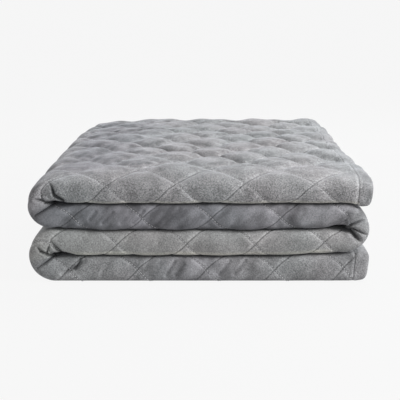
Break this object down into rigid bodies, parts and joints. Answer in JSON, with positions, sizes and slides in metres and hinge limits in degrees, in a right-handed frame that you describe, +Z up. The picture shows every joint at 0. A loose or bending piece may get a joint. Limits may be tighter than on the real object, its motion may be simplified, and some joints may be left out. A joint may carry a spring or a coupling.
{
  "type": "folded weighted blanket",
  "caption": "Quilted plush weighted blanket, folded in half and then back and forth into a stack of thick layers, with diamond quilting and stitched hems.",
  "frame": {"origin": "on the floor under the middle of the stack's bounding box", "axes": "+Z up, -Y towards the rounded front fold, +X towards the hemmed free ends"},
  "size_m": [0.4586, 0.605, 0.15],
  "materials": {
    "plush_cloth": "short soft grey pile, slightly mottled, with a faint sheen"
  },
  "bodies": {
    "root": {"blanket": "plush_cloth"}
  },
  "joints": []
}
